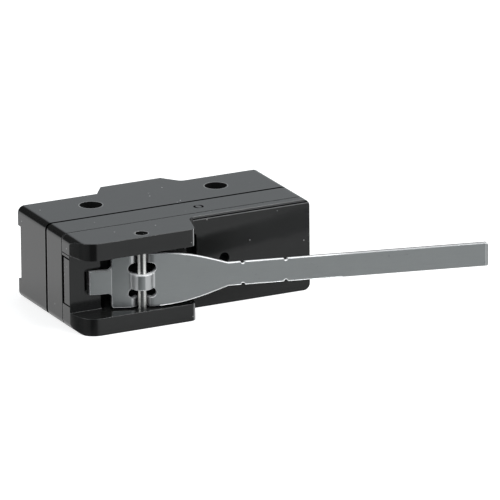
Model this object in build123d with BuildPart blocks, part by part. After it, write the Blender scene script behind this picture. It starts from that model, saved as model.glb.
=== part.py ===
from build123d import *
from math import asin, atan2, cos, degrees, radians, sin, sqrt, tan
import os

# Snap-action door switch with a long hinged lever, lying on its broad face.
# The origin is midway between the two mounting holes, on the bottom face.
# X runs along the case towards the lever's tip, -Y is the lever side, +Y the
# terminal side and +Z the thickness. Plane.XZ faces the lever side, so its
# offset is a distance in front of the hole line and its local y is the height.

os.makedirs("parts", exist_ok=True)

# Case, measured from the line through the mounting holes
case_left = 24.85
case_right = 24.35
case_thickness = 17.45
base_back = 5.6
hump_back = 9.05
base_front = 6.35
cover_front = 13.2
face_front = 15.2
edge_radius = 1.3
mount_spacing = 25.4
mount_hole_radius = 2.1
seam_width = 0.4
seam_depth = 0.7
fine_seam_width = 0.2
fine_seam_depth = 0.4

# Hump behind the middle terminal
hump_left_foot = 8.85
hump_left_top = 6.5
hump_left_radius = 0.6
hump_right_foot = 8.3
hump_right_top = 5.7
hump_right_radius = 1.2
hump_root_radius = 1.5

# Contact chamber inside the base and the cover
side_wall = 2.0
end_wall = 1.8
front_wall = 1.6
chamber_back = 3.6
lip_height = 1.0
lip_wall = 0.7
lip_clearance = 0.1

# Terminals: formed brass strips, screwed on the back
terminal_spacing_left = 18.2
terminal_spacing_right = 17.9
middle_terminal_x = -0.9
strip_thickness = 0.8
terminal_plate_width = 9.2
terminal_plate_height = 9.0
terminal_leg_width = 4.0
terminal_bend = 0.9
terminal_recess = 1.1
terminal_recess_height = 10.2
strip_clearance = 0.05
plate_margin = 0.2
plate_corner_cut = 0.6
left_leg_x = -21.5
middle_leg_x = 4.4
right_leg_x = 21.2

# M4 terminal screws and toothed washers
thread_radius = 1.95
thread_clearance = 0.05
screw_length = 5.6
screw_tip_clearance = 0.5
screw_head_radius = 3.7
screw_head_height = 2.3
screw_rim_bevel = 0.6
screw_slot_width = 1.0
screw_slot_depth = 1.1
screw_cross_length = 4.4
washer_radius = 4.2
washer_thickness = 0.7
washer_teeth = 12
washer_tooth_depth = 0.8
washer_gap_width = 0.9
washer_clearance = 0.15

# Snap spring and contacts
blade_front = 8.4
blade_thickness = 0.25
blade_root_x = -20.6
blade_head_x = 17.6
blade_head_start = 9.6
blade_root_end = -15.0
blade_centre_width = 3.0
blade_root_width = 5.0
blade_width = 7.0
blade_side_gap = 0.4
blade_bow = 1.3
seat_clearance = 0.12
anchor_x = -18.4
rivet_radius = 0.8
rivet_head_radius = 1.5
rivet_head_height = 0.55
rivet_clearance = 0.1
blade_play = 0.06
spacer_length = 3.2
anchor_foot_front = 7.4
anchor_foot_end = -13.6
anchor_foot_width = 8.0
contact_inset = 1.8
contact_radius = 1.6
contact_shank_radius = 0.8
contact_shank_clearance = 0.05
moving_contact_height = 0.55
fixed_contact_height = 0.9
closed_contact_clearance = 0.03
open_contact_gap = 0.55
contact_foot_reach = 2.0

# Plunger under the lever
plunger_x = -4.5
plunger_radius = 1.6
plunger_clearance = 0.05
plunger_travel = 0.55
plunger_collar_radius = 2.6
plunger_collar_height = 0.75
plunger_nose_radius = 0.7
plunger_tip_bevel = 0.5
plunger_blade_gap = 0.45
plunger_lever_clearance = 0.06
plunger_stop_clearance = 0.05
guide_radius = 3.1
guide_height = 2.2
inner_guide_height = 0.75

# Ears and pocket of the lever holder
ear_front = 21.8
ear_thickness = 3.25
ear_left_taper_start = 16.5
ear_left_inset = 1.25
ear_left_radius = 3.2
ear_right_top = -2.1
ear_right_foot = -0.35
ear_right_radius = 1.3
ear_root_radius = 1.9
pocket_floor = 16.5
pocket_floor_right = -18.7
window_right = 1.3
window_radius = 0.5
tongue_slot_left = -21.9
tongue_slot_height = 4.8
tongue_slot_radius = 0.6
tongue_slot_depth = 0.5
tongue_relief_length = 0.7
tongue_relief_depth = 0.9
face_groove_inset = 0.4
face_groove_width = 0.2
face_groove_depth = 0.25
sight_hole_x = 6.9
sight_hole_radius = 1.0

# Latch on the left end: a springy tab of the lever holder, hooked behind an
# arm of the cover
latch_bottom = 4.65
latch_top = 13.35
latch_gap = 1.0
latch_slit = 0.15
latch_slit_reach = 3.0
latch_tab = 0.65
latch_depth = 1.5
latch_reach = 2.7
latch_hook = 0.25
latch_hook_length = 0.55
latch_arm = 0.4
latch_clearance = 0.1

# Hinge pin and lever, a bent strip of sheet
pin_x = -11.8
pin_front = 19.5
pin_radius = 0.95
pin_clearance = 0.05
pin_recess = 1.1
pin_mouth_radius = 1.2
pin_end_chamfer = 0.15
sheet = 1.0
lever_rest_angle = 13.6
lever_pressed_angle = 5.4
tail_angle = 21.5
crease_bend = 1.2
lever_reach = 64.5
lever_arm_width = 4.3
lever_play_below = 0.3
lever_play_above = 0.75
shoulder_start = 2.6
shoulder_end = 15.9
shoulder_ease = 4.5
shoulder_run = 5.0
shoulder_slope = 0.35
tail_length = 5.55
tongue_length = 3.95
tongue_width = 4.35
tongue_root_radius = 0.8
strap_width = 2.8
strap_slot_height = 1.9
strap_slot_length = 5.15
knuckle_bend = 1.1
nick_radius = 0.38
first_nick = 18.65
second_nick = 26.65
tip_radius = 0.35
tongue_stop_clearance = 0.12

# Values that follow from the sizes above
middle = case_thickness / 2
case_width = case_left + case_right
case_centre = (case_right - case_left) / 2
chamber_left = end_wall - case_left
chamber_right = case_right - end_wall
chamber_front = cover_front - front_wall
chamber_length = chamber_right - chamber_left
chamber_height = case_thickness - 2 * side_wall
end_recess_floor = base_back - terminal_recess
hump_recess_floor = hump_back - terminal_recess
blade_back = blade_front - blade_thickness
slot_length = strip_thickness + 2 * strip_clearance
slot_height = terminal_leg_width + 2 * strip_clearance
screw_hole_depth = screw_length - strip_thickness - washer_thickness + screw_tip_clearance
terminal_places = (
    (-terminal_spacing_left, left_leg_x, end_recess_floor),
    (middle_terminal_x, middle_leg_x, hump_recess_floor),
    (terminal_spacing_right, right_leg_x, end_recess_floor),
)
contact_x = blade_head_x - contact_inset
contact_hole_radius = contact_shank_radius + contact_shank_clearance
hook_front = cover_front + latch_gap + latch_hook_length
arm_end = cover_front + latch_reach - latch_clearance
arm_inside = latch_depth - latch_clearance - case_left
nose_outside = latch_tab + latch_clearance - case_left
pocket_height = case_thickness - 2 * ear_thickness
lever_wide_width = pocket_height - lever_play_below - lever_play_above
lever_middle = ear_thickness + lever_play_below + lever_wide_width / 2


# Solid between two plan outlines' front and back, with the four edges that
# run front to back rounded as on every moulding of the case.
def rounded_section(front, back):
    with BuildSketch(Plane.XZ.offset(front)) as section:
        with Locations((case_centre, middle)):
            RectangleRounded(case_width, case_thickness, edge_radius)
    extrude(section.sketch, amount=back - front, mode=Mode.INTERSECT)


# Groove all round the case that starts at a joint and runs forwards
def seam_groove(start, width, depth):
    with BuildSketch(Plane.XZ.offset(start)) as ring:
        with Locations((case_centre, middle)):
            Rectangle(case_width, case_thickness)
            RectangleRounded(
                case_width - 2 * depth,
                case_thickness - 2 * depth,
                edge_radius - depth,
                mode=Mode.SUBTRACT,
            )
    extrude(ring.sketch, amount=width, mode=Mode.SUBTRACT)


# Base: back moulding with the mounting holes, chamber floor, terminal
# recesses and the hump that carries the middle terminal.
with BuildPart() as base_case:
    with BuildSketch(Plane.XY):
        with BuildLine():
            Polyline(
                (-case_left, -base_front),
                (case_right, -base_front),
                (case_right, base_back),
                (hump_right_foot, base_back),
                (hump_right_top, hump_back),
                (-hump_left_top, hump_back),
                (-hump_left_foot, base_back),
                (-case_left, base_back),
                close=True,
            )
        make_face()
        hump_corners = vertices().group_by(Axis.Y)[-1].sort_by(Axis.X)
        fillet(hump_corners[0], hump_left_radius)
        fillet(hump_corners[-1], hump_right_radius)
        fillet(vertices().sort_by_distance((hump_right_foot, base_back))[0], hump_root_radius)
    extrude(amount=case_thickness)
    rounded_section(base_front, -hump_back)
    with BuildSketch(Plane.XZ.offset(base_front)):
        with Locations(((chamber_left + chamber_right) / 2, middle)):
            RectangleRounded(chamber_length, chamber_height, window_radius)
    extrude(amount=chamber_back - base_front, mode=Mode.SUBTRACT)
    with BuildSketch(Plane.XY):
        with Locations((-mount_spacing / 2, 0), (mount_spacing / 2, 0)):
            Circle(mount_hole_radius)
    extrude(amount=case_thickness, mode=Mode.SUBTRACT)
    # End recesses, open towards the ends of the case
    for end_x, screw_inset in (
        (-case_left, case_left - terminal_spacing_left),
        (case_right, case_right - terminal_spacing_right),
    ):
        with BuildSketch(Plane.XZ.offset(-base_back)):
            with Locations((end_x, middle)):
                Rectangle(2 * screw_inset + terminal_plate_width, terminal_recess_height)
        extrude(amount=terminal_recess, mode=Mode.SUBTRACT)
    # Recess on the hump, as long as the plate and its bent leg
    hump_recess_left = middle_terminal_x - terminal_plate_width / 2 - plate_margin
    hump_recess_right = middle_leg_x + strip_thickness / 2 + plate_margin
    with BuildSketch(Plane.XZ.offset(-hump_back)):
        with Locations(((hump_recess_left + hump_recess_right) / 2, middle)):
            Rectangle(hump_recess_right - hump_recess_left, terminal_recess_height)
    extrude(amount=terminal_recess, mode=Mode.SUBTRACT)
    for screw_x, leg_x, floor in terminal_places:
        # Blind hole for the screw
        with BuildSketch(Plane.XZ.offset(-floor)):
            with Locations((screw_x, middle)):
                Circle(thread_radius + thread_clearance)
        extrude(amount=screw_hole_depth, mode=Mode.SUBTRACT)
        # Slot for the leg, right through to the chamber
        with BuildSketch(Plane.XZ.offset(-floor)):
            with Locations((leg_x, middle)):
                Rectangle(slot_length, slot_height)
        extrude(amount=floor + chamber_back, mode=Mode.SUBTRACT)
        # Relief under the bend between plate and leg
        inward = 1 if screw_x > leg_x else -1
        with BuildSketch(Plane.XZ.offset(-floor)):
            with Locations((leg_x + inward * terminal_bend / 2, middle)):
                Rectangle(slot_length + terminal_bend, slot_height)
        extrude(amount=terminal_bend, mode=Mode.SUBTRACT)

base_case.part.label = "base_case"
export_step(base_case.part, "parts/base_case.step")


# Cover: middle moulding, a tray over the contacts with a lip that enters the
# base, the plunger's guide and the hook that holds the lever holder.
with BuildPart() as cover:
    with BuildSketch(Plane.XY):
        with Locations((case_centre, -(base_front + cover_front) / 2)):
            Rectangle(case_width, cover_front - base_front)
    extrude(amount=case_thickness)
    rounded_section(cover_front, base_front)
    seam_groove(base_front, seam_width, seam_depth)
    with BuildSketch(Plane.XZ.offset(base_front)):
        with Locations(((chamber_left + chamber_right) / 2, middle)):
            RectangleRounded(
                chamber_length - 2 * lip_clearance,
                chamber_height - 2 * lip_clearance,
                window_radius,
            )
    extrude(amount=-lip_height)
    with BuildSketch(Plane.XZ.offset(base_front - lip_height)):
        with Locations(((chamber_left + chamber_right) / 2, middle)):
            RectangleRounded(
                chamber_length - 2 * lip_clearance - 2 * lip_wall,
                chamber_height - 2 * lip_clearance - 2 * lip_wall,
                window_radius,
            )
    extrude(amount=chamber_front - base_front + lip_height, mode=Mode.SUBTRACT)
    # Guide of the plunger, outside and inside the front wall
    with BuildSketch(Plane.XZ.offset(chamber_front - inner_guide_height)):
        with Locations((plunger_x, middle)):
            Circle(guide_radius)
    extrude(amount=inner_guide_height + front_wall + guide_height)
    with BuildSketch(Plane.XZ.offset(chamber_front - inner_guide_height)):
        with Locations((plunger_x, middle)):
            Circle(plunger_radius + plunger_clearance)
    extrude(amount=inner_guide_height + front_wall + guide_height, mode=Mode.SUBTRACT)
    # Latch arm, with a nose at its end that points outwards
    with BuildSketch(Plane.XY.offset(latch_bottom)):
        with BuildLine():
            Polyline(
                (arm_inside, -cover_front),
                (arm_inside, -arm_end),
                (nose_outside, -arm_end),
                (nose_outside, -hook_front - latch_clearance),
                (arm_inside - latch_arm, -hook_front - latch_clearance),
                (arm_inside - latch_arm, -cover_front),
                close=True,
            )
        make_face()
    extrude(amount=latch_top - latch_bottom)

cover.part.label = "cover"
export_step(cover.part, "parts/cover.step")


# Lever holder: front moulding with the two ears, the pocket between them,
# the window over the plunger and the stop slot for the lever's tongue.
with BuildPart() as lever_holder:
    with BuildSketch(Plane.XY):
        with BuildLine():
            Polyline(
                (-case_left, -cover_front),
                (-case_left, -ear_left_taper_start),
                (ear_left_inset - case_left, -ear_front),
                (ear_right_top, -ear_front),
                (ear_right_foot, -face_front),
                (case_right, -face_front),
                (case_right, -cover_front),
                close=True,
            )
        make_face()
        ear_corners = vertices().group_by(Axis.Y)[0].sort_by(Axis.X)
        fillet(ear_corners[0], ear_left_radius)
        fillet(vertices().group_by(Axis.Y)[0].sort_by(Axis.X)[-1], ear_right_radius)
        ear_root = vertices().sort_by_distance((ear_right_foot, -face_front))[0]
        fillet(ear_root, ear_root_radius)
    extrude(amount=case_thickness)
    rounded_section(ear_front, cover_front)
    # Fine groove below the upper edge of the right front face
    groove_length = case_right - ear_right_foot - ear_root_radius
    groove_height = case_thickness - face_groove_inset - face_groove_width / 2
    with BuildSketch(Plane.XZ.offset(face_front)):
        with Locations((case_right - groove_length / 2, groove_height)):
            Rectangle(groove_length, face_groove_width)
    extrude(amount=-face_groove_depth, mode=Mode.SUBTRACT)
    # Space between the ears, open to the left and to the front
    with BuildSketch(Plane.XZ.offset(pocket_floor)):
        with Locations((-case_left, middle)):
            RectangleRounded(2 * (case_left + window_right), pocket_height, window_radius)
    extrude(amount=ear_front - pocket_floor, mode=Mode.SUBTRACT)
    # Window over the plunger, right through the moulding
    with BuildSketch(Plane.XZ.offset(cover_front)):
        with Locations(((pocket_floor_right + window_right) / 2, middle)):
            RectangleRounded(window_right - pocket_floor_right, pocket_height, window_radius)
    extrude(amount=pocket_floor - cover_front, mode=Mode.SUBTRACT)
    # Slot in the pocket's floor: the tongue rests on its bottom, short of a
    # deeper relief at its end
    with BuildSketch(Plane.XZ.offset(pocket_floor)):
        with Locations((pocket_floor_right, middle)):
            RectangleRounded(
                2 * (pocket_floor_right - tongue_slot_left),
                tongue_slot_height,
                tongue_slot_radius,
            )
    extrude(amount=-tongue_slot_depth, mode=Mode.SUBTRACT)
    with BuildSketch(Plane.XZ.offset(pocket_floor - tongue_slot_depth)):
        with Locations((tongue_slot_left + tongue_relief_length / 2, middle)):
            Rectangle(tongue_relief_length, tongue_slot_height - 2 * tongue_slot_radius)
    extrude(amount=-tongue_relief_depth, mode=Mode.SUBTRACT)
    # Latch tab, left free on three sides, and its hook that points inwards
    with BuildSketch(Plane.XZ.offset(cover_front)):
        with Locations((-case_left, (latch_bottom + latch_top) / 2)):
            Rectangle(2 * latch_depth, latch_top - latch_bottom + 2 * latch_slit)
    extrude(amount=latch_reach, mode=Mode.SUBTRACT)
    with BuildSketch(Plane.XZ.offset(cover_front)):
        with Locations(
            (-case_left, latch_bottom - latch_slit / 2),
            (-case_left, latch_top + latch_slit / 2),
        ):
            Rectangle(2 * latch_tab, latch_slit)
    extrude(amount=latch_slit_reach, mode=Mode.SUBTRACT)
    with BuildSketch(Plane.XY.offset(latch_bottom)):
        with BuildLine():
            Polyline(
                (-case_left, -cover_front - latch_gap),
                (latch_tab + latch_hook - case_left, -cover_front - latch_gap),
                (latch_tab + latch_hook - case_left, -hook_front),
                (latch_tab - case_left, -hook_front),
                (latch_tab - case_left, -cover_front - latch_reach),
                (-case_left, -cover_front - latch_reach),
                close=True,
            )
        make_face()
    extrude(amount=latch_top - latch_bottom)
    seam_groove(cover_front, fine_seam_width, fine_seam_depth)
    # Holes for the hinge pin through both ears, with wider mouths
    with BuildSketch(Plane.XY):
        with Locations((pin_x, -pin_front)):
            Circle(pin_radius + pin_clearance)
    extrude(amount=case_thickness, mode=Mode.SUBTRACT)
    for mouth_bottom in (0, case_thickness - pin_recess):
        with BuildSketch(Plane.XY.offset(mouth_bottom)):
            with Locations((pin_x, -pin_front)):
                Circle(pin_mouth_radius)
        extrude(amount=pin_recess, mode=Mode.SUBTRACT)
    # Small hole in the right front face
    with BuildSketch(Plane.XZ.offset(cover_front)):
        with Locations((sight_hole_x, middle)):
            Circle(sight_hole_radius)
    extrude(amount=face_front - cover_front, mode=Mode.SUBTRACT)

lever_holder.part.label = "lever_holder"
export_step(lever_holder.part, "parts/lever_holder.step")


# Hinge pin, lodged in both ears below their outer faces
with BuildPart() as hinge_pin:
    with BuildSketch(Plane.XY.offset(pin_recess)):
        with Locations((pin_x, -pin_front)):
            Circle(pin_radius)
    extrude(amount=case_thickness - 2 * pin_recess)
    chamfer(edges().filter_by(GeomType.CIRCLE), pin_end_chamfer)

hinge_pin.part.label = "hinge_pin"
export_step(hinge_pin.part, "parts/hinge_pin.step")


# Lever: one strip of sheet. Its wide part is slotted at the pin, the strap
# between the slots is pressed forwards round the pin and the two bands beside
# it backwards, and the tail ends in a narrow tongue that rests on the pocket's
# floor when the lever is let go.
pin_point = Vector(pin_x, -pin_front)
arm_direction = Vector(cos(radians(lever_rest_angle)), -sin(radians(lever_rest_angle)))
tail_direction = Vector(-cos(radians(tail_angle)), sin(radians(tail_angle)))
wrap_radius = pin_radius + pin_clearance + sheet / 2
wrap_start = sqrt(wrap_radius**2 + 2 * wrap_radius * knuckle_bend)
wrap_turn = degrees(atan2(wrap_start, knuckle_bend))
crease = pin_point + tail_direction * tail_length
tongue_rise = tongue_slot_depth - pocket_floor - tongue_stop_clearance - sheet / 2 - crease.Y
tongue_angle = degrees(asin(tongue_rise / tongue_length))
arm_tip = pin_point + arm_direction * lever_reach


# Strip from the arm's tip to the tongue's tip, bent round the front of the
# pin where side is 1 and round the back where it is -1.
def bent_strip(side, height, bottom):
    with BuildSketch(Plane.XY.offset(bottom)) as strip:
        with BuildLine():
            arm = Line(arm_tip, pin_point + arm_direction * wrap_start)
            bend_in = JernArc(arm @ 1, arm % 1, knuckle_bend, side * wrap_turn)
            wrap_sweep = -side * 2 * wrap_turn - (tail_angle - lever_rest_angle)
            wrap = JernArc(bend_in @ 1, bend_in % 1, wrap_radius, wrap_sweep)
            bend_out = JernArc(wrap @ 1, wrap % 1, knuckle_bend, side * wrap_turn)
            tail = Line(bend_out @ 1, crease)
            bend = JernArc(tail @ 1, tail % 1, crease_bend, tail_angle - tongue_angle)
            Line(bend @ 1, bend @ 1 + bend % 1 * tongue_length)
        trace(line_width=sheet)
    return extrude(strip.sketch, amount=height, mode=Mode.PRIVATE)


# Half outline of the flat strip, seen square on the arm with the pin at 0, so
# that the other half is its mirror image.
half_wide = lever_wide_width / 2
half_arm = lever_arm_width / 2
crease_place = -tail_length * cos(radians(tail_angle - lever_rest_angle))
beyond_tongue = crease_place - 2 * tongue_length
with BuildSketch() as lever_outline:
    with BuildLine():
        Polyline(
            (beyond_tongue, 0),
            (beyond_tongue, tongue_width / 2),
            (crease_place, tongue_width / 2),
            (crease_place, half_wide),
            (shoulder_start, half_wide),
        )
        Bezier(
            (shoulder_start, half_wide),
            (shoulder_start + shoulder_ease, half_wide),
            (shoulder_end - shoulder_run, half_arm + shoulder_run * shoulder_slope),
            (shoulder_end, half_arm),
        )
        Polyline(
            (shoulder_end, half_arm),
            (lever_reach, half_arm),
            (lever_reach, 0),
            (beyond_tongue, 0),
        )
    make_face()
    tongue_root = vertices().sort_by_distance((crease_place, tongue_width / 2))[0]
    fillet(tongue_root, tongue_root_radius)
    tail_corner = vertices().sort_by_distance((crease_place, half_wide))[0]
    tip_corner = vertices().sort_by_distance((lever_reach, half_arm))[0]
    fillet([tail_corner, tip_corner], tip_radius)
    with Locations((first_nick, half_arm), (second_nick, half_arm)):
        Circle(nick_radius, mode=Mode.SUBTRACT)
    with Locations((0, (strap_width + strap_slot_height) / 2)):
        SlotOverall(strap_slot_length, strap_slot_height, mode=Mode.SUBTRACT)
    mirror(about=Plane.XZ)

with BuildPart() as lever:
    band_height = (lever_wide_width - strap_width) / 2
    add(bent_strip(1, strap_width, lever_middle - strap_width / 2))
    add(bent_strip(-1, band_height, lever_middle - half_wide))
    add(bent_strip(-1, band_height, lever_middle + strap_width / 2))
    arm_plane = Plane(
        origin=(pin_x, -pin_front, lever_middle),
        x_dir=(arm_direction.X, arm_direction.Y, 0),
        z_dir=(-arm_direction.Y, arm_direction.X, 0),
    )
    outline_depth = 2 * tail_length
    extrude(
        arm_plane.offset(-outline_depth) * lever_outline.sketch,
        amount=2 * outline_depth,
        mode=Mode.INTERSECT,
    )

lever.part.label = "lever"
export_step(lever.part, "parts/lever.step")


# Plunger: stem under the lever, collar that stops it inside the cover and
# nose towards the snap spring. It is turned about its own axis.
plunger_tip_radius = plunger_radius - plunger_tip_bevel
tip_pressed = (
    pin_front
    - (plunger_x + plunger_tip_radius - pin_x) * tan(radians(lever_pressed_angle))
    - sheet / 2 / cos(radians(lever_pressed_angle))
    - plunger_lever_clearance
)
plunger_tip = tip_pressed + plunger_travel
collar_front = chamber_front - inner_guide_height - plunger_stop_clearance
nose_end = blade_front + plunger_blade_gap
with BuildPart() as plunger:
    with BuildSketch(Plane.XY.offset(middle)):
        with BuildLine():
            Polyline(
                (plunger_x, -plunger_tip),
                (plunger_x, -nose_end),
                (plunger_x + plunger_nose_radius, -nose_end),
                (plunger_x + plunger_radius, -collar_front + plunger_collar_height),
                (plunger_x + plunger_collar_radius, -collar_front + plunger_collar_height),
                (plunger_x + plunger_collar_radius, -collar_front),
                (plunger_x + plunger_radius, -collar_front),
                (plunger_x + plunger_radius, -plunger_tip + plunger_tip_bevel),
                (plunger_x + plunger_tip_radius, -plunger_tip),
                close=True,
            )
        make_face()
    revolve(axis=Axis((plunger_x, 0, middle), (0, 1, 0)))

plunger.part.label = "plunger"
export_step(plunger.part, "parts/plunger.step")


# Terminal: brass strip with a tapped plate on the back, a leg through the base
# and a foot in the chamber.
def terminal(screw_x, leg_x, seat, foot_front, foot_end, foot_width, rivet_x, hole_radius):
    plate_line = seat + strip_thickness / 2
    foot_line = -foot_front + strip_thickness / 2
    with BuildPart() as strip:
        with BuildSketch(Plane.XY.offset(middle - terminal_leg_width / 2)):
            with BuildLine():
                FilletPolyline(
                    (screw_x, plate_line),
                    (leg_x, plate_line),
                    (leg_x, foot_line),
                    (foot_end, foot_line),
                    radius=terminal_bend,
                )
            trace(line_width=strip_thickness)
        extrude(amount=terminal_leg_width)
        with BuildSketch(Plane.XZ.offset(-seat)):
            with Locations((screw_x, middle)):
                Rectangle(terminal_plate_width, terminal_plate_height)
            chamfer(vertices(), plate_corner_cut)
        extrude(amount=-strip_thickness)
        foot_start = leg_x + (1 if foot_end > leg_x else -1) * (terminal_bend + strip_thickness)
        with BuildSketch(Plane.XZ.offset(foot_front)):
            with Locations(((foot_start + foot_end) / 2, middle)):
                Rectangle(abs(foot_end - foot_start), foot_width)
        extrude(amount=-strip_thickness)
        with BuildSketch(Plane.XZ.offset(-seat)):
            with Locations((screw_x, middle)):
                Circle(thread_radius + thread_clearance)
        extrude(amount=-strip_thickness, mode=Mode.SUBTRACT)
        with BuildSketch(Plane.XZ.offset(foot_front)):
            with Locations((rivet_x, middle)):
                Circle(hole_radius)
        extrude(amount=-strip_thickness, mode=Mode.SUBTRACT)
    return strip.part


# Binding-head screw, turned about its axis, with a slot and a shorter cross
def terminal_screw(screw_x, seat):
    head_seat = seat + strip_thickness + washer_thickness
    head_top = head_seat + screw_head_height
    with BuildPart() as screw:
        with BuildSketch(Plane.XY.offset(middle)):
            with BuildLine():
                Polyline(
                    (screw_x, head_top),
                    (screw_x, head_seat - screw_length),
                    (screw_x + thread_radius, head_seat - screw_length),
                    (screw_x + thread_radius, head_seat),
                    (screw_x + screw_head_radius, head_seat),
                    (screw_x + screw_head_radius, head_top),
                    close=True,
                )
            make_face()
            rim = vertices().sort_by_distance((screw_x + screw_head_radius, head_top))[0]
            chamfer(rim, screw_rim_bevel)
        revolve(axis=Axis((screw_x, 0, middle), (0, 1, 0)))
        with BuildSketch(Plane.XZ.offset(-head_top)):
            with Locations((screw_x, middle)):
                Rectangle(2 * screw_head_radius, screw_slot_width)
                Rectangle(screw_slot_width, screw_cross_length)
        extrude(amount=screw_slot_depth, mode=Mode.SUBTRACT)
    return screw.part


# Washer with outer teeth
def terminal_washer(screw_x, seat):
    with BuildPart() as washer:
        with BuildSketch(Plane.XZ.offset(-seat - strip_thickness)):
            with Locations((screw_x, middle)):
                Circle(washer_radius)
                Circle(thread_radius + washer_clearance, mode=Mode.SUBTRACT)
                with PolarLocations(washer_radius, washer_teeth):
                    Rectangle(2 * washer_tooth_depth, washer_gap_width, mode=Mode.SUBTRACT)
        extrude(amount=-washer_thickness)
    return washer.part


# Fixed contact: silver rivet with its button towards the moving contact
def fixed_contact(button_face, button_seat, shank_end):
    with BuildPart() as contact:
        with BuildSketch(Plane.XZ.offset(button_seat)):
            with Locations((contact_x, middle)):
                Circle(contact_radius)
        extrude(amount=button_face - button_seat)
        with BuildSketch(Plane.XZ.offset(button_seat)):
            with Locations((contact_x, middle)):
                Circle(contact_shank_radius)
        extrude(amount=shank_end - button_seat)
    return contact.part


closed_face = blade_front + moving_contact_height + closed_contact_clearance
closed_seat = closed_face + fixed_contact_height
open_face = blade_back - moving_contact_height - open_contact_gap
open_seat = open_face - fixed_contact_height
terminal_pieces = {
    "common_terminal": terminal(
        *terminal_places[0],
        anchor_foot_front,
        anchor_foot_end,
        anchor_foot_width,
        anchor_x,
        rivet_radius + rivet_clearance,
    ),
    "open_terminal": terminal(
        *terminal_places[1],
        open_seat,
        contact_x + contact_foot_reach,
        terminal_leg_width,
        contact_x,
        contact_hole_radius,
    ),
    "closed_terminal": terminal(
        *terminal_places[2],
        closed_seat + strip_thickness,
        contact_x - contact_foot_reach,
        terminal_leg_width,
        contact_x,
        contact_hole_radius,
    ),
    "open_contact": fixed_contact(open_face, open_seat, open_seat - strip_thickness),
    "closed_contact": fixed_contact(closed_face, closed_seat, closed_seat + strip_thickness),
}
for place_name, (screw_x, leg_x, floor) in zip(("common", "open", "closed"), terminal_places):
    terminal_pieces[place_name + "_screw"] = terminal_screw(screw_x, floor)
    terminal_pieces[place_name + "_washer"] = terminal_washer(screw_x, floor)
for piece_name, piece in terminal_pieces.items():
    piece.label = piece_name
    export_step(piece, "parts/" + piece_name + ".step")


# Snap spring: one sheet of spring alloy. The centre strip is held at the
# anchor and the two bowed side strips push from the anchor's end on the head.
with BuildPart() as snap_spring:
    with BuildSketch(Plane.XZ.offset(blade_back)):
        with Locations(((blade_root_x + blade_head_x) / 2, middle)):
            Rectangle(blade_head_x - blade_root_x, blade_centre_width)
        with Locations(((blade_root_x + blade_root_end) / 2, middle)):
            Rectangle(blade_root_end - blade_root_x, blade_root_width)
        with Locations(((blade_head_start + blade_head_x) / 2, middle)):
            Rectangle(blade_head_x - blade_head_start, blade_width)
        with Locations((anchor_x, middle)):
            Circle(rivet_radius + rivet_clearance, mode=Mode.SUBTRACT)
        with Locations((contact_x, middle)):
            Circle(contact_hole_radius, mode=Mode.SUBTRACT)
    extrude(amount=blade_thickness)
    side_strip_height = (blade_width - blade_centre_width) / 2 - blade_side_gap
    head_point = Vector(blade_head_start + blade_thickness, blade_thickness / 2 - blade_front)
    seat_point = Vector(anchor_foot_end + seat_clearance, strip_thickness / 2 - anchor_foot_front)
    for strip_bottom in (
        middle - blade_width / 2,
        middle + blade_width / 2 - side_strip_height,
    ):
        with BuildSketch(Plane.XY.offset(strip_bottom)):
            with BuildLine():
                SagittaArc(head_point, seat_point, -blade_bow)
            trace(line_width=blade_thickness)
        extrude(amount=side_strip_height)

snap_spring.part.label = "snap_spring"
export_step(snap_spring.part, "parts/snap_spring.step")


# Moving contact: silver rivet through the spring's head, with a button on
# each side
with BuildPart() as moving_contact:
    with BuildSketch(Plane.XZ.offset(blade_front)):
        with Locations((contact_x, middle)):
            Circle(contact_radius)
    extrude(amount=moving_contact_height)
    with BuildSketch(Plane.XZ.offset(blade_back - moving_contact_height)):
        with Locations((contact_x, middle)):
            Circle(contact_radius)
    extrude(amount=moving_contact_height)
    with BuildSketch(Plane.XZ.offset(blade_back)):
        with Locations((contact_x, middle)):
            Circle(contact_shank_radius)
    extrude(amount=blade_thickness)

moving_contact.part.label = "moving_contact"
export_step(moving_contact.part, "parts/moving_contact.step")


# Spacer between the anchor's foot and the spring's root
with BuildPart() as spring_spacer:
    with BuildSketch(Plane.XZ.offset(anchor_foot_front)):
        with Locations((anchor_x, middle)):
            Rectangle(spacer_length, blade_root_width)
            Circle(rivet_radius, mode=Mode.SUBTRACT)
    extrude(amount=blade_back - blade_play - anchor_foot_front)

spring_spacer.part.label = "spring_spacer"
export_step(spring_spacer.part, "parts/spring_spacer.step")


# Rivet that holds the spring's root on the anchor
with BuildPart() as anchor_rivet:
    with BuildSketch(Plane.XZ.offset(anchor_foot_front - strip_thickness)):
        with Locations((anchor_x, middle)):
            Circle(rivet_radius)
    extrude(amount=blade_front + blade_play - anchor_foot_front + strip_thickness)
    with BuildSketch(Plane.XZ.offset(blade_front + blade_play)):
        with Locations((anchor_x, middle)):
            Circle(rivet_head_radius)
    extrude(amount=rivet_head_height)

anchor_rivet.part.label = "anchor_rivet"
export_step(anchor_rivet.part, "parts/anchor_rivet.step")
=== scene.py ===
import math

import bpy
from mathutils import Matrix, Vector


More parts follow.
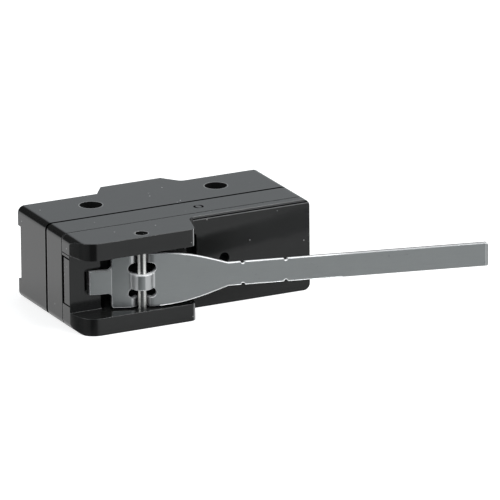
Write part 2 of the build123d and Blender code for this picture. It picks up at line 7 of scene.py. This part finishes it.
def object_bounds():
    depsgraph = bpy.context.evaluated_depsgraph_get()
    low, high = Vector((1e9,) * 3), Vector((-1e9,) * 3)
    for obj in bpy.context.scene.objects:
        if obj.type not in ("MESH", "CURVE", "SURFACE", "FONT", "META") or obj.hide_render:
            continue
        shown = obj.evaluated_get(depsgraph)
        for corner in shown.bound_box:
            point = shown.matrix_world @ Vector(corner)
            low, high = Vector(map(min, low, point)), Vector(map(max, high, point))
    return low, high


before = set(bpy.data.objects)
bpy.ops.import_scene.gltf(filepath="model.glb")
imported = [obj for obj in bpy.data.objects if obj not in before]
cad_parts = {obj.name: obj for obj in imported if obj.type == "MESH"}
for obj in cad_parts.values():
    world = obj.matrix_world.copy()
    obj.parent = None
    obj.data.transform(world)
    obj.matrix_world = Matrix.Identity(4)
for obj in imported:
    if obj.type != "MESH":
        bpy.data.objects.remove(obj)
cad_box = [list(corner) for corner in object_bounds()]

MILLIMETRE = 0.001

# The photograph's view, from a metre and a half away: the lever's side, turned
# towards the case's left end and a little from above.
VIEW_AZIMUTH = -26.14
VIEW_ELEVATION = 17.9
VIEW_ROLL = -0.48
VIEW_DISTANCE = 1.5
PIXELS_PER_MILLIMETRE = 5.437
PHOTO_PIXELS = 500
FILM_WIDTH = 36.0
VIEW_CENTRE = (5.0, 0.0, 8.7)
VIEW_ACROSS = 13.13
VIEW_DOWN = 2.44
NEAREST_SEEN = 0.05
FARTHEST_SEEN = 20


def set_camera():
    azimuth, elevation, roll = map(math.radians, (VIEW_AZIMUTH, VIEW_ELEVATION, VIEW_ROLL))
    back = Vector(
        (
            math.sin(azimuth) * math.cos(elevation),
            -math.cos(azimuth) * math.cos(elevation),
            math.sin(elevation),
        )
    )
    level_right = Vector((0, 0, 1)).cross(back).normalized()
    level_up = back.cross(level_right)
    right = level_right * math.cos(roll) + level_up * math.sin(roll)
    up = level_up * math.cos(roll) - level_right * math.sin(roll)
    aim = (Vector(VIEW_CENTRE) + right * VIEW_ACROSS - up * VIEW_DOWN) * MILLIMETRE
    width = PHOTO_PIXELS / PIXELS_PER_MILLIMETRE * MILLIMETRE
    lens = bpy.data.cameras.new("photo_view")
    lens.sensor_width = FILM_WIDTH
    lens.lens = FILM_WIDTH * VIEW_DISTANCE / width
    lens.clip_start = NEAREST_SEEN
    lens.clip_end = FARTHEST_SEEN
    camera = bpy.data.objects.new("photo_view", lens)
    bpy.context.scene.collection.objects.link(camera)
    turn = Matrix((right, up, back)).transposed()
    camera.matrix_world = Matrix.Translation(aim + back * VIEW_DISTANCE) @ turn.to_4x4()
    bpy.context.scene.camera = camera


# How black a seam or a painted shade is, how far an edge has to turn before it
# takes the painted edge highlight (as the product of the two normals), and how
# deep the fine relief goes in millimetres
SEAM_AND_SHADE_TONE = 0.0005
EDGE_MASK_FROM_TO = (0.995, 0.85)
BUMP_DEPTH = 0.003


class Value:
    """A shader socket that Python's operators work on."""

    def __init__(self, shading, socket):
        self.shading = shading
        self.socket = socket

    def combine(self, operation, first, second):
        return self.shading.node("ShaderNodeMath", {"operation": operation}, {0: first, 1: second})

    def __add__(self, other):
        return self.combine("ADD", self, other)

    def __sub__(self, other):
        return self.combine("SUBTRACT", self, other)

    def __rsub__(self, other):
        return self.combine("SUBTRACT", other, self)

    def __mul__(self, other):
        return self.combine("MULTIPLY", self, other)

    def __truediv__(self, other):
        return self.combine("DIVIDE", self, other)

    def __rtruediv__(self, other):
        return self.combine("DIVIDE", other, self)

    def __pow__(self, other):
        return self.combine("POWER", self, other)

    def __gt__(self, other):
        return self.combine("GREATER_THAN", self, other)

    def __lt__(self, other):
        return self.combine("LESS_THAN", self, other)

    def __abs__(self):
        return self.shading.node("ShaderNodeMath", {"operation": "ABSOLUTE"}, {0: self})

    __radd__ = __add__
    __rmul__ = __mul__


class Shading:
    """A node tree, and the one way in which its nodes are made."""

    def __init__(self, tree):
        self.tree = tree

    def node(self, kind, settings=None, sockets=None, output=0):
        made = self.tree.nodes.new(kind)
        for name, setting in (settings or {}).items():
            if name == "stops":
                for count, (position, colour) in enumerate(setting):
                    stop = made.color_ramp.elements[count] if count < 2 else None
                    stop = stop or made.color_ramp.elements.new(position)
                    stop.position, stop.color = position, colour
            else:
                setattr(made, name, setting)
        for name, value in (sockets or {}).items():
            self.feed(made.inputs[name], value)
        return Value(self, made.outputs[output])

    def feed(self, socket, value):
        if isinstance(value, Value):
            self.tree.links.new(value.socket, socket)
        else:
            socket.default_value = value

    def place(self):
        """The point on the piece, in metres in the part's frame."""
        return self.node("ShaderNodeTexCoord", output="Object")

    def parts(self, vector):
        """The three components of a vector."""
        split = self.node("ShaderNodeSeparateXYZ", None, {0: vector}).socket.node
        return [Value(self, output) for output in split.outputs]

    def point(self):
        """The point on the piece as x, y and z in millimetres."""
        return [part / MILLIMETRE for part in self.parts(self.place())]

    def facing(self):
        """The three components of the piece's own normal."""
        return self.parts(self.node("ShaderNodeTexCoord", output="Normal"))

    def heading(self):
        """Where the piece's own normal points in plan: degrees from -Y towards +X."""
        across, back, _ = self.facing()
        turn = self.node("ShaderNodeMath", {"operation": "ARCTAN2"}, {0: across, 1: back * -1})
        return turn * math.degrees(1)

    def along(self, vector, direction):
        """How far a vector reaches in a direction."""
        sockets = {0: vector, 1: direction}
        return self.node("ShaderNodeVectorMath", {"operation": "DOT_PRODUCT"}, sockets, output="Value")

    def larger(self, first, second):
        return self.node("ShaderNodeMath", {"operation": "MAXIMUM"}, {0: first, 1: second})

    def fade(self, value, start, end, first=0.0, last=1.0):
        """A soft step from first to last while the value goes from start to end."""
        return self.node(
            "ShaderNodeMapRange",
            {"interpolation_type": "SMOOTHSTEP"},
            {"Value": value, "From Min": start, "From Max": end, "To Min": first, "To Max": last},
        )

    def stripe(self, value, start, end, soft):
        """1 where a value lies between start and end, with soft sides."""
        rise = self.fade(value, start - soft, start + soft)
        return rise * self.fade(value, end + soft, end - soft)

    def between(self, amount, first, second):
        """A colour that goes from first to second with amount."""
        return self.node(
            "ShaderNodeMix",
            {"data_type": "RGBA"},
            {"Factor": amount, 6: first, 7: second},
            output=2,
        )

    def ray(self, kind):
        return self.node("ShaderNodeLightPath", output=kind)


class Finish(Shading):
    """A material with its Principled shader."""

    def __init__(self, name):
        self.material = bpy.data.materials.new(name)
        self.material.use_nodes = True
        super().__init__(self.material.node_tree)
        self.shader = self.tree.nodes["Principled BSDF"]

    def surface(self, **sockets):
        for name, value in sockets.items():
            shown = name.replace("_", " ").title().replace("Ior", "IOR")
            self.feed(self.shader.inputs[shown], value)

    def noise(self, scale, detail=2, roughness=0.5, stretch=(1, 1, 1)):
        stretched = self.node("ShaderNodeMapping", None, {"Vector": self.place(), "Scale": stretch})
        return self.node(
            "ShaderNodeTexNoise",
            None,
            {"Vector": stretched, "Scale": scale, "Detail": detail, "Roughness": roughness},
        )

    def blacken(self, amount):
        """Take all light from the surface where amount is 1."""
        black = self.node("ShaderNodeBsdfDiffuse", None, {"Color": grey(SEAM_AND_SHADE_TONE)})
        mixed = self.node(
            "ShaderNodeMixShader",
            None,
            {0: amount, 1: Value(self, self.shader.outputs[0]), 2: black},
        )
        self.tree.links.new(mixed.socket, self.tree.nodes["Material Output"].inputs["Surface"])

    def eased_edges(self, radius):
        """Normals that round each edge off, by a radius in millimetres."""
        return self.node("ShaderNodeBevel", {"samples": 8}, {"Radius": radius * MILLIMETRE})

    def eased_edge_mask(self, eased):
        """1 on the eased edges, 0 on the faces between them."""
        flat = self.node("ShaderNodeNewGeometry", output="Normal")
        return self.fade(self.along(eased, flat), *EDGE_MASK_FROM_TO)

    def bump(self, height, normal=None):
        sockets = {"Height": height, "Distance": BUMP_DEPTH * MILLIMETRE, "Strength": 1.0}
        if normal:
            sockets["Normal"] = normal
        return self.node("ShaderNodeBump", None, sockets)


def grey(level):
    return (level, level, level, 1)


def scaled(colour, factor):
    return tuple(channel * factor for channel in colour[:3]) + (1,)


# Black phenolic: pressed powder that comes off a worn steel mould, satin with
# slow waves of gloss, a fine grain, a few pale dust specks and edges painted
# paler as a highlight. The mask from marks is black, for joints, marks and
# painted shade, and the one from gleams is pale, for painted highlights.
PHENOLIC_BLACK = (0.0075, 0.0077, 0.0075, 1)
PHENOLIC_ROUGHNESS = 0.09
PHENOLIC_IOR = 1.52
CLOUD_SCALE = 260
GRAIN_SCALE = 9000
FLOW_SCALE = 700
FLOW_STRETCH = (1, 3, 1)
FLOW_PALER = 1.6
DUST_SCALE = 420
DUST_RADIUS = 0.055
DUSTY_CLOUDS = 0.46
DUST_TONE = grey(0.4)
GLEAM_TONE = grey(0.5)
EDGE_HIGHLIGHT_TONE = grey(0.05)


def phenolic(name, marks=None, gleams=None, tint=PHENOLIC_BLACK, edge=0.1):
    finish = Finish(name)
    clouds = finish.noise(CLOUD_SCALE, detail=3)
    grain = finish.noise(GRAIN_SCALE, detail=2)
    flow = finish.noise(FLOW_SCALE, detail=4, roughness=0.6, stretch=FLOW_STRETCH)
    dust = finish.node(
        "ShaderNodeTexVoronoi",
        {"feature": "F1"},
        {"Vector": finish.place(), "Scale": DUST_SCALE, "Randomness": 1.0},
    )
    specks = (dust < DUST_RADIUS) * (clouds > DUSTY_CLOUDS)
    eased = finish.eased_edges(edge)
    colour = finish.between(flow, tint, scaled(tint, FLOW_PALER))
    # Eased edges are painted paler as a highlight
    colour = finish.between(finish.eased_edge_mask(eased) * 0.5, colour, EDGE_HIGHLIGHT_TONE)
    colour = finish.between(specks * 0.6, colour, DUST_TONE)
    if gleams:
        colour = finish.between(gleams(finish), colour, GLEAM_TONE)
    finish.surface(
        base_color=colour,
        roughness=PHENOLIC_ROUGHNESS + clouds * 0.07 + grain * 0.04,
        normal=finish.bump(grain * 0.6 + flow * 0.4, normal=eased),
        ior=PHENOLIC_IOR,
    )
    if marks:
        finish.blacken(marks(finish))
    return finish.material


# Places on the mouldings in millimetres. The joint between base and cover is
# a black line all round, and the one between cover and lever holder a finer
# one. Their two values are distances in front of the mounting holes.
JOINT = (6.24, 6.86)
JOINT_ON_END = (6.2, 6.95)
FINE_JOINT = (13.1, 13.4)
FINE_JOINT_AMOUNT = 0.7
TOP_FACE = 17.4
LEFT_END = -24.7
HOLE_SPACING = 25.4
HOLE_RADIUS = 2.1
PIN = (-11.8, -19.5)
PIN_MOUTH = 1.2
RIM = 0.2

# How pale the painted highlights on the holes' rims and on the two sides of the
# joint on the left end are
RIM_HIGHLIGHT_AMOUNT = 0.2
BASE_SIDE_AMOUNT = 0.12
COVER_SIDE_AMOUNT = 0.15

# How far the sides of a painted line fade, in millimetres
SHARPEST = 0.02
SHARP = 0.03
SOFT = 0.04
SOFTEST = 0.05

# The ring that an ejector left on the cover, fainter near its middle from side
# to side
EJECTOR_X = 4.3
EJECTOR_FRONT = 10.0
EJECTOR_RADIUS = 0.75
EJECTOR_LINE = 0.3
EJECTOR_CORE = 0.4
EJECTOR_FAINT = (0.1, 0.6)
EJECTOR_FAINTEST = 0.3


def ring_round(finish, centre_x, centre_front):
    """The distance in plan from an upright axis."""
    across, back, _ = finish.point()
    across = across - centre_x
    back = back + centre_front
    return (across * across + back * back) ** 0.5


def joint_lines(finish):
    across, back, height = finish.point()
    front = back * -1
    line = finish.stripe(front, *JOINT, SOFT)
    on_end = finish.stripe(front, *JOINT_ON_END, SOFT) * (across < LEFT_END)
    fine = finish.stripe(front, *FINE_JOINT, SOFT) * (height > TOP_FACE) * FINE_JOINT_AMOUNT
    return finish.larger(line, on_end) + fine


def cover_marks(finish):
    across, _, height = finish.point()
    off_line = abs(ring_round(finish, EJECTOR_X, EJECTOR_FRONT) - EJECTOR_RADIUS)
    ring = finish.fade(off_line, EJECTOR_LINE, EJECTOR_LINE * EJECTOR_CORE)
    ring = ring * finish.fade(abs(across - EJECTOR_X), *EJECTOR_FAINT, EJECTOR_FAINTEST, 1)
    return ring * (height > TOP_FACE) + joint_lines(finish)


# Painted highlights: a pale rim round the holes, and pale lines beside the
# joint on the left end
def hole_rim_highlight(finish, centre_x, centre_front, radius):
    rim = finish.stripe(ring_round(finish, centre_x, centre_front), radius, radius + RIM, SHARP)
    return rim * (finish.point()[2] > TOP_FACE) * RIM_HIGHLIGHT_AMOUNT


def base_gleams(finish):
    across, back, _ = finish.point()
    beside = finish.stripe(back * -1, JOINT_ON_END[0] - RIM, JOINT_ON_END[0], SHARP)
    beside = beside * (across < LEFT_END) * BASE_SIDE_AMOUNT
    return beside + sum(hole_rim_highlight(finish, side * HOLE_SPACING / 2, 0, HOLE_RADIUS) for side in (-1, 1))


def cover_gleams(finish):
    across, back, _ = finish.point()
    beside = finish.stripe(back * -1, JOINT_ON_END[1], JOINT_ON_END[1] + RIM, SHARP)
    return beside * (across < LEFT_END) * COVER_SIDE_AMOUNT


# Heights of the slits round the latch tab on the left end, and of the groove
# below the upper edge of the right front face. The groove is painted black as
# shade, with painted highlights above and below it.
SLITS = ((14.07, 14.23), (13.33, 13.62), (4.38, 4.67))
SLIT_REACH = (-16.4, -13.3)
FACE_GROOVE = (16.83, 17.06)
ABOVE_GROOVE = (17.06, 17.6)
BELOW_GROOVE = (16.66, 16.83)
ABOVE_AMOUNT = 0.09
BELOW_AMOUNT = 0.3
RIGHT_FACE = (0.6, -14.9)

# The ears lie in front of EARS, and their left-hand corners left of EARS_LEFT.
# The corners get painted shade or a painted highlight at these headings.
EARS = -18.5
EARS_LEFT = -15
DARK_CORNER = (-36, -13)
DARK_CORNER_AMOUNT = 0.45
BRIGHT_CORNER = (30, 42)
BRIGHT_CORNER_AMOUNT = 0.8
CORNER_SOFT = 4


def on_right_face(finish):
    across, back, _ = finish.point()
    return (across > RIGHT_FACE[0]) * (back < RIGHT_FACE[1])


# Joints and slits, with painted shade in the groove and on the ears' corners
def holder_lines_and_shade(finish):
    across, back, height = finish.point()
    slits = sum(finish.stripe(height, *slit, SHARP) for slit in SLITS)
    slits = slits * finish.stripe(back, *SLIT_REACH, SOFTEST) * (across < LEFT_END)
    # Painted shade in the groove and on the ears' left-hand corners
    groove = finish.stripe(height, *FACE_GROOVE, SHARPEST) * on_right_face(finish)
    corner = finish.stripe(finish.heading(), *DARK_CORNER, CORNER_SOFT)
    corner = corner * (back < EARS) * (across < EARS_LEFT) * DARK_CORNER_AMOUNT
    return slits + groove + corner + joint_lines(finish)


# Painted highlights that run down the ears' right-hand corners and along the
# upper edge of the right front face, and round the pin's hole
def ear_gleam(finish):
    _, back, height = finish.point()
    corner = finish.stripe(finish.heading(), *BRIGHT_CORNER, CORNER_SOFT)
    corner = corner * (back < EARS) * BRIGHT_CORNER_AMOUNT
    lip = finish.stripe(height, *ABOVE_GROOVE, SHARPEST) * ABOVE_AMOUNT
    lip = lip + finish.stripe(height, *BELOW_GROOVE, SHARPEST) * BELOW_AMOUNT
    return corner + lip * on_right_face(finish) + hole_rim_highlight(finish, PIN[0], -PIN[1], PIN_MOUTH)


# Cold-rolled stainless sheet: fine lines along the strip, faint stains, and
# painted highlights on the sheared edges, rims, bends, crease and tip. Places
# are in millimetres from the pin.
LEVER_STEEL = (0.36, 0.375, 0.375, 1)
LEVER_ROUGHNESS = 0.3
ROLLING = (0.05, 0.4, 1)
ROLLED_LINE_SCALE = 2600
STAIN_SCALE = 240
MARK_SCALE = 900
MARKED = (0.62, 0.74)
ROUND_RIM = 0.32
ARM_ANGLE = math.radians(13.6)
TAIL_ANGLE = math.radians(21.5)
TAIL_CREASE = 5.55
CREASE_HALF = 0.06
ARM_START = 15.0
ARM_FADE = 2.0
CASE_END = 36.0
CASE_FADE = 3.0
ARM_REACH = 64.5
TIP_HIGHLIGHT_BAND = (ARM_REACH - 0.5, ARM_REACH - 0.3)

# Where the knuckle ends on its right, and where the tail begins on its left.
# The sheet's upper edge is darker behind this depth.
KNUCKLE_RIGHT = 3
KNUCKLE_LEFT = -0.4
UPPER_EDGE_BACK_DEPTH = -0.12

# Tones of the stained places, of the painted highlights on the lit bends,
# crease, tip and rims, and of the upper edge's darker back, and how much of the
# painted rim highlight is left on the arm
MARK_TONE = grey(0.1)
LIT_TONE = grey(0.95)
CREASE_HIGHLIGHT_TONE = grey(0.9)
SHINE_TONE = grey(0.95)
DULL_SHINE_TONE = grey(0.5)
UPPER_EDGE_BACK_TONE = grey(0.04)
STAIN_DARKER = 0.85
ARM_RIM_HIGHLIGHT = 0.3

# Where a normal counts as turned up (these faces get a painted highlight) or
# down, and the headings at which the strap and the bends beside it get a
# painted highlight
TURNED_UP = (0.4, 0.6)
TURNED_DOWN = (-0.08, -0.3)
STRAP_LIT = (-12, -4)
BEND_LIT = (-42, -50)

# The lower rim and the tail's rims take their light as if they faced this way
LOWER_RIM_FACES = (0.1, -0.55, 0.83, 1)
TAIL_RIM_FACES = (-0.78, -0.3, 0.55, 1)


def rolled_steel(name, base, along):
    finish = Finish(name)
    lines = finish.noise(ROLLED_LINE_SCALE, detail=3, roughness=0.65, stretch=along)
    stain = finish.noise(STAIN_SCALE, detail=3)
    marks = finish.fade(finish.noise(MARK_SCALE, detail=5, roughness=0.7), *MARKED)
    eased = finish.eased_edges(ROUND_RIM)
    across, back, _ = finish.point()
    across = across - PIN[0]
    back = back - PIN[1]
    through_sheet = across * -math.sin(ARM_ANGLE) - back * math.cos(ARM_ANGLE)
    up_tail = back * math.sin(TAIL_ANGLE) - across * math.cos(TAIL_ANGLE)
    along_arm = across * math.cos(ARM_ANGLE) - back * math.sin(ARM_ANGLE)

    heading = finish.heading()
    # Upward faces and eased rims are painted near white as highlights
    upward_faces = finish.fade(finish.facing()[2], *TURNED_UP)
    rim_highlight = finish.eased_edge_mask(eased) * finish.fade(across, ARM_START, ARM_START + ARM_FADE, 1, ARM_RIM_HIGHLIGHT)
    bright = finish.larger(rim_highlight, upward_faces)
    # Painted highlights along the tail's crease, near the arm's tip and on the lit bends
    crease_highlight = finish.stripe(up_tail, TAIL_CREASE - CREASE_HALF, TAIL_CREASE + CREASE_HALF, SOFTEST)
    tip_highlight = finish.stripe(along_arm, *TIP_HIGHLIGHT_BAND, SOFTEST)
    lit_bends = finish.fade(heading, *STRAP_LIT) * 0.55 + finish.fade(heading, *BEND_LIT)
    # The back of the sheet's upper edge is darker
    upper_edge_back = upward_faces * (through_sheet < UPPER_EDGE_BACK_DEPTH) * (across > KNUCKLE_RIGHT)
    past_case = finish.fade(across, CASE_END - CASE_FADE, CASE_END + CASE_FADE)

    colour = finish.between(lines * 0.6 + stain * 0.4, scaled(base, STAIN_DARKER), base)
    colour = finish.between(marks * 0.3, colour, MARK_TONE)
    colour = finish.between(lit_bends, colour, LIT_TONE)
    colour = finish.between(crease_highlight * 0.7 + tip_highlight * 0.5, colour, CREASE_HIGHLIGHT_TONE)
    colour = finish.between(bright, colour, finish.between(past_case, SHINE_TONE, DULL_SHINE_TONE))
    colour = finish.between(upper_edge_back, colour, UPPER_EDGE_BACK_TONE)

    lower_rim = finish.fade(finish.parts(eased)[2], *TURNED_DOWN)
    lower_rim = lower_rim * (across < CASE_END) * (across > KNUCKLE_RIGHT)
    normal = finish.between(lower_rim, eased, LOWER_RIM_FACES)
    normal = finish.between(rim_highlight * (across < KNUCKLE_LEFT), normal, TAIL_RIM_FACES)
    finish.surface(
        base_color=colour,
        roughness=LEVER_ROUGHNESS + lines * 0.12 + stain * 0.06,
        metallic=1 - bright * 0.9,
        normal=finish.bump(lines, normal=normal),
    )
    return finish.material


# Polished pin: two painted highlights down its front, at these headings, with
# painted dark between and beside them. They fade towards the pin's foot.
PIN_HIGHLIGHTS = ((-74, -42), (-8, 25))
PIN_HIGHLIGHT_SOFT = 5
PIN_FOOT = (3.2, 7)
PIN_FOOT_AMOUNT = 0.35
PIN_BRIGHT = (0.95, 0.94, 0.9, 1)
PIN_DARK = grey(0.12)
PIN_ROUGHNESS = 0.2
SCRATCH_SCALE = 3000


def polished_steel(name):
    finish = Finish(name)
    heading = finish.heading()
    marks = finish.noise(SCRATCH_SCALE, detail=3, roughness=0.6)
    # Painted highlights down the pin, with painted dark elsewhere
    lines = sum(finish.stripe(heading, *line, PIN_HIGHLIGHT_SOFT) for line in PIN_HIGHLIGHTS)
    lines = lines * finish.fade(finish.point()[2], *PIN_FOOT, PIN_FOOT_AMOUNT, 1)
    finish.surface(
        base_color=finish.between(lines, PIN_DARK, PIN_BRIGHT),
        roughness=PIN_ROUGHNESS + marks * 0.12,
        metallic=1 - lines * 0.7,
        normal=finish.bump(marks),
    )
    return finish.material


# Plated or bare metal of the small turned and stamped pieces
SMALL_EDGE = 0.08
TARNISH_SCALE = 500
TARNISH_DARKER = 0.7


def small_metal(name, base, rough):
    finish = Finish(name)
    marks = finish.noise(SCRATCH_SCALE, detail=3, roughness=0.6)
    tarnish = finish.noise(TARNISH_SCALE, detail=3)
    finish.surface(
        base_color=finish.between(tarnish, base, scaled(base, TARNISH_DARKER)),
        roughness=rough + marks * 0.12,
        normal=finish.bump(marks, normal=finish.eased_edges(SMALL_EDGE)),
        metallic=1.0,
    )
    return finish.material


FINISHES = {
    "base_case": phenolic("base_phenolic", joint_lines, base_gleams),
    "cover": phenolic("cover_phenolic", cover_marks, cover_gleams),
    "lever_holder": phenolic("holder_phenolic", holder_lines_and_shade, ear_gleam, edge=0.2),
    "plunger": phenolic("plunger_resin", tint=(0.015, 0.015, 0.015, 1)),
    "lever": rolled_steel("lever_steel", LEVER_STEEL, along=ROLLING),
    "hinge_pin": polished_steel("polished_pin"),
    "common_terminal": small_metal("terminal_brass", (0.72, 0.53, 0.27, 1), 0.28),
    "common_screw": small_metal("plated_screw", (0.66, 0.65, 0.62, 1), 0.25),
    "common_washer": small_metal("plated_washer", (0.58, 0.57, 0.55, 1), 0.33),
    "open_contact": small_metal("contact_silver", (0.85, 0.84, 0.82, 1), 0.18),
    "snap_spring": small_metal("spring_copper", (0.74, 0.45, 0.28, 1), 0.24),
}
SHARED_FINISHES = {
    "open_terminal": "common_terminal",
    "closed_terminal": "common_terminal",
    "spring_spacer": "common_terminal",
    "open_screw": "common_screw",
    "closed_screw": "common_screw",
    "anchor_rivet": "common_screw",
    "open_washer": "common_washer",
    "closed_washer": "common_washer",
    "closed_contact": "open_contact",
    "moving_contact": "open_contact",
}


def dress_nodes():
    for name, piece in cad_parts.items():
        material = FINISHES[SHARED_FINISHES.get(name, name)]
        piece.data.materials.clear()
        piece.data.materials.append(material)


# The pale floor, in metres. What the glossy faces see of it is brightest
# behind the left end and fades round the front towards the left, as in the
# photograph.
FLOOR_HALF = 3.0
FLOOR_GAP = 0.02 * MILLIMETRE
FRONT_SPAN = (-0.045, 0.01)
FRONT_TONES = ((0.0, grey(0.03)), (0.28, grey(0.06)), (0.42, grey(0.45)), (1.0, grey(0.43)))
BEHIND_LEFT_SLOPE = (0.91, 1, 0)
BEHIND_LEFT_EDGE = (-0.041, -0.038)
BEHIND_LEFT_END = -0.0245
BEHIND_LEFT_TONE = grey(0.2)
BEHIND_LEFT_GLOW = grey(0.8)
FLOOR_TONE = grey(0.4)
FLOOR_SEEN = grey(0.74)
FLOOR_ROUGHNESS = 0.6


def set_floor():
    low, high = -FLOOR_HALF, FLOOR_HALF
    mesh = bpy.data.meshes.new("floor")
    corners = [(low, low, 0), (high, low, 0), (high, high, 0), (low, high, 0)]
    mesh.from_pydata(corners, [], [(0, 1, 2, 3)])
    floor = bpy.data.objects.new("floor", mesh)
    floor.location.z = cad_box[0][2] - FLOOR_GAP
    bpy.context.scene.collection.objects.link(floor)
    finish = Finish("pale_floor")
    place = finish.place()
    across = finish.along(place, (1, 0, 0))
    front = finish.node("ShaderNodeValToRGB", {"stops": FRONT_TONES}, {0: finish.fade(across, *FRONT_SPAN)})
    behind_left = finish.fade(finish.along(place, BEHIND_LEFT_SLOPE), *BEHIND_LEFT_EDGE)
    behind_left = behind_left * (across < BEHIND_LEFT_END)
    mirrored = finish.between(behind_left, front, BEHIND_LEFT_TONE)
    glow = finish.between(finish.ray("Is Glossy Ray") * behind_left, grey(0), BEHIND_LEFT_GLOW)
    finish.surface(
        base_color=finish.between(finish.ray("Is Glossy Ray"), FLOOR_TONE, mirrored),
        emission_color=finish.between(finish.ray("Is Camera Ray"), glow, FLOOR_SEEN),
        emission_strength=1.0,
        roughness=FLOOR_ROUGHNESS,
    )
    mesh.materials.append(finish.material)


# White round the object, with one dark corner of the room behind and above
# the left end, which the case's long left-hand edge mirrors.
ROOM_LIGHT = (0.56, 0.59, 0.61, 1)
DARK_DIRECTION = (-0.25, 0.87, 0.43)
DARK_SPREAD = (0.93, 0.85)
DARK_TONE = grey(0.03)


def set_world():
    world = bpy.data.worlds.new("studio")
    bpy.context.scene.world = world
    world.use_nodes = True
    shading = Shading(world.node_tree)
    direction = shading.node("ShaderNodeTexCoord", output="Generated")
    corner = shading.along(direction, Vector(DARK_DIRECTION).normalized())
    lit = shading.between(shading.fade(corner, *DARK_SPREAD), DARK_TONE, ROOM_LIGHT)
    background = shading.tree.nodes["Background"]
    shading.feed(background.inputs["Color"], shading.between(shading.ray("Is Camera Ray"), lit, grey(1)))


# Both lamps aim at about the middle of the case's height
LAMP_AIM = (0, 0, 0.008)


def soft_lamp(name, place, size, power):
    lamp = bpy.data.lights.new(name, "AREA")
    lamp.shape = "RECTANGLE"
    lamp.size, lamp.size_y = size
    lamp.energy = power
    stand = bpy.data.objects.new(name, lamp)
    bpy.context.scene.collection.objects.link(stand)
    stand.location = place
    stand.rotation_euler = (Vector(LAMP_AIM) - Vector(place)).to_track_quat("-Z", "Y").to_euler()


set_camera()
set_floor()
set_world()
soft_lamp("overhead", place=(0.42, -0.28, 0.85), size=(0.7, 0.5), power=9)
soft_lamp("window_left", place=(-0.9, -0.1, 0.6), size=(0.6, 0.6), power=4)
dress_nodes()
bpy.context.scene.view_settings.view_transform = "Standard"
